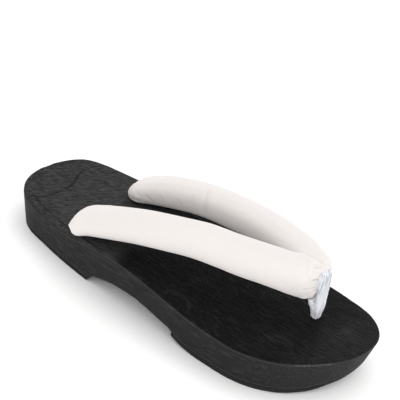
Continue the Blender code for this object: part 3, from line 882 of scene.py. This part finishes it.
def inflate(obj, pinned):
    start = pointsOf(obj)
    group = obj.vertex_groups.new(name="pins")
    for index in np.flatnonzero(pinned > 0.02):
        group.add([int(index)], float(min(pinned[index], 1)), "REPLACE")
    cloth = obj.modifiers.new("inflate", "CLOTH").settings
    cloth.quality = straps["quality"]
    cloth.use_pressure = True
    cloth.uniform_pressure_force = straps["pressure"]
    cloth.shrink_min = straps["loose"]
    cloth.tension_stiffness = cloth.compression_stiffness = straps["stiffness"]
    cloth.bending_stiffness = straps["bending"]
    cloth.effector_weights.gravity = 0
    cloth.vertex_group_mass = "pins"
    for number in range(1, straps["frames"] + 1):
        scene.frame_set(number)
    moved = obj.evaluated_get(bpy.context.evaluated_depsgraph_get()).to_mesh()
    end = readAll(moved.vertices, "co")
    obj.modifiers.clear()
    scene.frame_set(1)
    move = end - start
    size = np.linalg.norm(move, axis=1)
    print("cloth moved, mm: median", round(float(np.median(size)) * 1000, 3),
          "most", round(float(size.max()) * 1000, 3))
    soft = straps["cap"] * np.tanh(size / straps["cap"])
    setPoints(obj, start + move * (soft / np.maximum(size, 1e-9))[:, None])
    obj.vertex_groups.clear()


def trueUp(obj, lines):
    # the stuffing keeps its swells, the sections go back to the sizes of the solids
    points = pointsOf(obj)
    along = alongOf(points)
    sags = (0.045 * smoothStep(along, 0.33, 0.42), 0.09 - 0.05 * smoothStep(along, 0.40, 0.70))
    power, keep = straps["squareness"], straps["swell"]
    found = []
    for centres, sag in zip(lines, sags):
        x0, z0, wide, thick, dx, dz, turn = sectionAt(points, centres)
        size = (np.abs(dx * 2 / wide)**power + np.abs(dz * 2 / thick)**power)**(1 / power)
        spread = np.exp(-((turn - straps["sagAngle"]) / straps["sagWidth"])**2)  # where the pad lies
        found.append((size / (1 + sag * spread), np.column_stack((x0, z0)), np.column_stack((dx, dz))))
    (outerSize, *outerRest), (innerSize, *innerRest) = found
    nearer = outerSize < innerSize
    size = np.where(nearer, outerSize, innerSize)
    centre, offset = (np.where(nearer[:, None], a, b) for a, b in zip(outerRest, innerRest))
    wanted = 1 + keep * np.tanh((size - 1) / keep)
    rear = np.where(nearer, smoothStep(along, 0.246, 0.256), smoothStep(along, 0.233, 0.245))
    share = rear * smoothStep(along, 0.825, 0.800)
    factor = 1 + (wanted / np.maximum(size, 0.2) - 1) * share
    points[:, (0, 2)] = centre + offset * factor[:, None]
    setPoints(obj, points)


def fillTips(obj):
    points, normals = pointsOf(obj), normalsOf(obj)
    upper = smoothStep(alongOf(points), 0.80, 0.84) * smoothStep(normals[:, 2], -0.3, 0.3)
    move = upper * straps["tipFill"]
    for x, along, z, reach, pull in tipRows:
        move += np.exp(-(np.linalg.norm(points - spotAt(x, along, z), axis=1) / reach)**2) * pull
    setPoints(obj, points + normals * move[:, None])


def pressCreases(obj, lines):
    points, normals = pointsOf(obj), normalsOf(obj)
    places = [strapPlace(points, centres) for centres in lines]
    isOuter = places[0][0] < places[1][0]
    move, shade = np.zeros(len(points)), np.zeros(len(points))

    def press(gap, depth, own=True):  # a trough with a low ridge on both sides
        form = np.exp(-gap**2) - 0.38 * np.exp(-((gap - 1.9) / 0.9)**2)
        move[:] -= np.where(own, form * depth / 1000, 0)
        shade[:] = np.maximum(shade, np.where(own, np.exp(-(gap * 1.2)**2) * min(depth / 0.5, 1), 0))

    for rows, (_, angle, radius), own in zip(creaseRows.values(), places, (isOuter, ~isOuter)):
        around = radius.mean()
        for a0, d0, a1, d1, width, depth in rows:
            middle = (d0 + d1) / 2
            turn = (angle - middle + 180) % 360 - 180 + middle
            flat = np.column_stack((alongOf(points) * length, np.radians(turn) * around))
            line = [(a0 * length, math.radians(d0) * around), (a1 * length, math.radians(d1) * around)]
            press(np.abs(signedDistance(flat, line)) / (width / 1000), depth, own)
    for *ends, width, depth in tipFolds:
        start = spotAt(*ends[:3])
        run = spotAt(*ends[3:]) - start
        share = np.clip((points - start) @ run / (run @ run), 0, 1)
        press(np.linalg.norm(points - start - share[:, None] * run, axis=1) * 1000 / width, depth)
    for x, along, z, reach, pull in pinchRows:
        near = np.exp(-(np.linalg.norm(points - spotAt(x, along, z), axis=1) / reach * 1000)**2)
        move += near * pull / 1000
        shade = np.maximum(shade, near * (0.5 if pull < 0 else 0))
    setPoints(obj, points + normals * move[:, None])
    setValue(obj, "creaseShade", shade)


def weaveGroup():
    group, start, end = newGroup("clothWeave", "ShaderNodeTree", [
        ("Vector", "Vector"), ("Threads", "Float", 2400.0), ("Wander", "Float", 0.25),
    ], [("Height", "Float"), ("Slub", "Float")])
    axes = splitAxes(group, start["Vector"])
    slub = noise(group, start["Vector"], 420.0)["Fac"]
    bend = times(group, times(group, slub, start["Wander"]), math.tau)
    waves = []
    for axis in "XYZ":
        angle = times(group, times(group, axes[axis], start["Threads"]), math.tau)
        waves.append(calc(group, "SINE", calc(group, "ADD", angle, bend)))
    cross = times(group, times(group, waves[0], waves[1]), waves[2])
    plugAll(group, end, {"Height": calc(group, "ADD", cross, 0.5), "Slub": slub})
    return group


def clothMaterial(weave):
    material, tree, shader, place = newMaterial("white_cotton")
    threads = useGroup(tree, weave, Vector=place, Threads=1 / straps["thread"] / 2)
    cloud = noise(tree, place, 45.0, 3.0)["Fac"]
    color = blendColor(tree, remap(tree, cloud, 0.35, 0.7, 0.0, 0.10), straps["color"], straps["tone"])
    color = blendColor(tree, times(tree, threads["Slub"], 0.06), color, straps["shade"])
    crease = times(tree, namedValue(tree, "creaseShade"), 0.45)
    plugAll(tree, shader, {
        "Base Color": blendColor(tree, crease, color, straps["shade"]),
        "Roughness": 0.92, "Specular IOR Level": 0.15, "Sheen Weight": 0.25, "Sheen Roughness": 0.5,
        "Subsurface Weight": 0.3, "Subsurface Radius": (1.0, 0.9, 0.85), "Subsurface Scale": 0.004,
    })
    crinkle = longNoise(tree, place, (620.0, 260.0, 620.0), 3.0, 0.6)
    addBump(tree, shader, calc(tree, "MULTIPLY_ADD", threads["Height"], 0.12, crinkle), 0.22, 0.0006)
    return material


def makeStraps(weave):
    obj, outerLine = strapTube("padded_hanao", outerStrapRows)
    inner, innerLine = strapTube("innerHalf", innerStrapRows)
    lines = (outerLine, innerLine)
    cutOrJoin(obj, inner, "UNION")
    applyStep(obj, "REMESH", mode="VOXEL", voxel_size=straps["voxel"])
    relax(obj, 4)
    points = pointsOf(obj)
    (outerSize, outerTurn, _), (innerSize, innerTurn, _) = (strapPlace(points, line) for line in lines)
    angle = np.where(outerSize < innerSize, outerTurn, innerTurn)
    seam = np.exp(-((angle + 90) / straps["seamWidth"])**2)
    along = alongOf(points)
    tips = smoothStep(along, 0.252, 0.240) + smoothStep(along, 0.838, 0.850)
    inflate(obj, np.maximum(seam, tips))
    relax(obj, 6)
    trueUp(obj, lines)
    relax(obj, 2)
    applyStep(obj, "SUBSURF", levels=1, render_levels=1)
    setPoints(obj, pointsOf(obj) + normalsOf(obj) * straps["grow"])
    fillTips(obj)
    pressCreases(obj, lines)
    dress(obj, clothMaterial(weave))
    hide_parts("padded_straps")
    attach(obj, "root")
    print("straps:", len(obj.data.polygons), "faces")
    return obj


# stitches along the seam under each strap

stitches = {
    "pitch": 0.0034, "length": 0.0021, "radius": 0.00028, "from": 0.42, "to": 0.79,
    "below": 0.020, "color": (0.70, 0.66, 0.63),
}


def stitchTree():
    tree, start, end = newTree("seamStitches", [("Pitch", "Float"), ("Length", "Float"), ("Radius", "Float")])
    curve = makeNode(tree, "GeometryNodeMeshToCurve", {"Mesh": start["Geometry"]})
    spots = makeNode(tree, "GeometryNodeCurveToPoints", {
        "Curve": curve.outputs[0], "Length": start["Pitch"]}, mode="LENGTH")
    bead = makeNode(tree, "GeometryNodeMeshUVSphere", {"Segments": 10, "Rings": 7, "Radius": 1.0})
    half = times(tree, start["Length"], 0.5)
    size = makeNode(tree, "ShaderNodeCombineXYZ", {"X": start["Radius"], "Y": start["Radius"], "Z": half})
    place = makeNode(tree, "GeometryNodeInstanceOnPoints", {
        "Points": spots.outputs["Points"], "Rotation": spots.outputs["Rotation"],
        "Instance": bead.outputs["Mesh"], "Scale": size.outputs[0]})
    return endTree(tree, start, end, place.outputs[0])


def threadMaterial(weave):
    material, tree, shader, place = newMaterial("cotton_thread")
    twist = useGroup(tree, weave, Vector=place, Threads=3200.0, Wander=0.2)
    color = blendColor(tree, remap(tree, twist["Slub"], 0.3, 0.7), stitches["color"], straps["color"])
    plugAll(tree, shader, {"Base Color": color, "Roughness": 0.8})
    addBump(tree, shader, twist["Height"], 0.3, 0.0002)
    return material


def makeStitches(pad, weave):
    vertices, edges = [], []
    for rows in (outerStrapRows, innerStrapRows):
        first = len(vertices)
        for along, across, *_ in strapPath(rows, 400):
            if not stitches["from"] < along < stitches["to"]:
                continue
            spot = Vector(spotAt(across * halfWidth, along, stitches["below"]))
            hit, where, _, _ = pad.ray_cast(spot, Vector((0, 0, 1)))
            if hit:
                vertices.append(where)
        edges += [(i, i + 1) for i in range(first, len(vertices) - 1)]
    obj = addObject("strap_seam_stitches", vertices, edges, [])
    runTree(obj, stitchTree(), Pitch=stitches["pitch"], Length=stitches["length"],
            Radius=stitches["radius"], Material=threadMaterial(weave))
    smoothShade(obj)
    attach(obj, "root")
    print("stitches:", len(obj.data.polygons), "faces")


# satin thong

thong = {
    "width": 0.0096, "thick": 0.0024, "squareness": 3.2, "steps": 60, "sides": 56, "voxel": 0.00036,
    "level": (1.0, -0.05, 0.0),  # the way a strand's width lies
    "folds": 4.5, "foldDepth": 0.00049, "foldSway": 0.5, "swayPitch": 0.09,
    "color": (0.57, 0.595, 0.64), "foldHighlight": (0.72, 0.74, 0.77), "paintedLightTone": (0.92, 0.93, 0.98),
    "shadow": (0.36, 0.38, 0.43), "paintedLightEnds": (0.048, 0.034),
}
frontRows = [  # along, across, height, wide, thick
    (0.8470, -0.180, 1.14, 1.00, 0.8), (0.8522, -0.176, 1.03, 1.24, 1.0), (0.8535, -0.186, 0.90, 1.26, 1.0),
    (0.8542, -0.208, 0.77, 1.20, 1.1), (0.8545, -0.234, 0.52, 1.04, 1.2), (0.8560, -0.260, 0.25, 0.90, 1.2),
    (0.8545, -0.290, 0.04, 0.68, 1.2), (0.8530, -0.293, -0.20, 0.50, 1.2),
]
rearRows = [  # along, across, height, wide, thick
    (0.8385, -0.176, 0.50, 0.72, 1.2), (0.8430, -0.214, 0.36, 0.76, 1.3), (0.8475, -0.256, 0.18, 0.62, 1.3),
    (0.8485, -0.284, 0.03, 0.54, 1.2), (0.8485, -0.286, -0.20, 0.46, 1.2),
]


def thongStrand(name, rows, phase):
    footAlong, footAcross = base["thongFoot"]
    wood = float(topHeight(footAcross * halfWidth, (footAlong - 0.5) * length)[0])
    middle = wood + body["strapLift"] + body["strapThick"] / 2
    values = strapPath(rows, thong["steps"])
    path = np.column_stack((values[:, 1] * halfWidth, (values[:, 0] - 0.5) * length,
                            wood + body["gap"] + values[:, 2] * (middle - wood)))
    run = np.gradient(path, axis=0)
    run /= np.linalg.norm(run, axis=1)[:, None]
    level = np.array(thong["level"])
    sections = []
    for i, spot in enumerate(path):
        side = level - run[i] * (run[i] @ level)
        side /= np.linalg.norm(side)
        out = np.cross(side, run[i])
        wide, thick = values[i, 3:] * (thong["width"], thong["thick"])
        flat = ovalPoints(wide, thick, thong["sides"], thong["squareness"])
        sway = thong["foldSway"] * math.sin(i * thong["swayPitch"] + phase)
        fold = np.cos((flat[:, 0] / thong["width"] * thong["folds"] + sway) * math.tau + phase)
        flat[:, 1] += thong["foldDepth"] * min(values[i, 4], 1) * fold * np.sign(flat[:, 1])
        sections.append(spot + flat[:, :1] * side + flat[:, 1:] * out)
    return closedTube(name, sections)


def satinMaterial(weave):
    material, tree, shader, place = newMaterial("pale_satin")
    threads = useGroup(tree, weave, Vector=place, Threads=2600.0, Wander=0.1)
    lines = longNoise(tree, place, (1000.0, 1000.0, 22.0), 0.0)
    low = remap(tree, splitAxes(tree, place)["Z"], *thong["paintedLightEnds"], 0.0, 0.95)  # painted light: the satin is painted paler towards its foot, where the straps shade it
    # painted highlight on the fold ridges and painted shadow in the troughs between them
    color = blendColor(tree, remap(tree, lines, 0.42, 0.60), thong["color"], thong["foldHighlight"])
    color = blendColor(tree, low, color, thong["paintedLightTone"])
    plugAll(tree, shader, {
        "Base Color": blendColor(tree, remap(tree, lines, 0.46, 0.34, 0.0, 0.45), color, thong["shadow"]),
        "Roughness": remap(tree, threads["Slub"], 0.3, 0.7, 0.30, 0.42),
        "Sheen Weight": 0.3, "Anisotropic": 0.4,
    })
    height = calc(tree, "MULTIPLY_ADD", lines, 0.8, times(tree, threads["Height"], 0.1))
    addBump(tree, shader, height, 0.5, 0.0004)
    return material


def makeThong(weave):
    front = thongStrand("satin_maetsubo", frontRows, 0.4)
    rear = thongStrand("rearStrand", rearRows, 1.9)
    form = bmesh.new()
    form.from_mesh(front.data)
    form.from_mesh(rear.data)
    form.to_mesh(front.data)
    form.free()
    bpy.data.objects.remove(rear, do_unlink=True)
    applyStep(front, "REMESH", mode="VOXEL", voxel_size=thong["voxel"])
    relax(front, 6)
    dress(front, satinMaterial(weave))
    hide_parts("toe_thong")
    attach(front, "root")
    print("thong:", len(front.data.polygons), "faces")


# floor and sky

def makeStudio():
    half = studio["floorSize"] / 2
    floor = meshObject("studioFloor", [(-half, -half, 0), (half, -half, 0), (half, half, 0), (-half, half, 0)],
                       [(0, 1, 2, 3)])
    material, tree, shader, place = newMaterial("paleFloor")
    cloud = noise(tree, place, 3.0)["Fac"]
    plugAll(tree, shader, {
        "Base Color": studio["floor"], "Roughness": remap(tree, cloud, 0.3, 0.7, 0.9, 1.0),
        "Specular IOR Level": 0.1,
    })
    floor.data.materials.append(material)
    world = bpy.data.worlds.new("studioSky")
    scene.world = world
    world.use_nodes = True
    tree = world.node_tree
    plugAll(tree, tree.nodes["Background"], {"Color": studio["sky"], "Strength": studio["skyStrength"]})


makeCamera()
makeStudio()
makeLamps()
makeWood()
makeTreads()
weave = weaveGroup()
pad = makeStraps(weave)
makeStitches(pad, weave)
makeThong(weave)
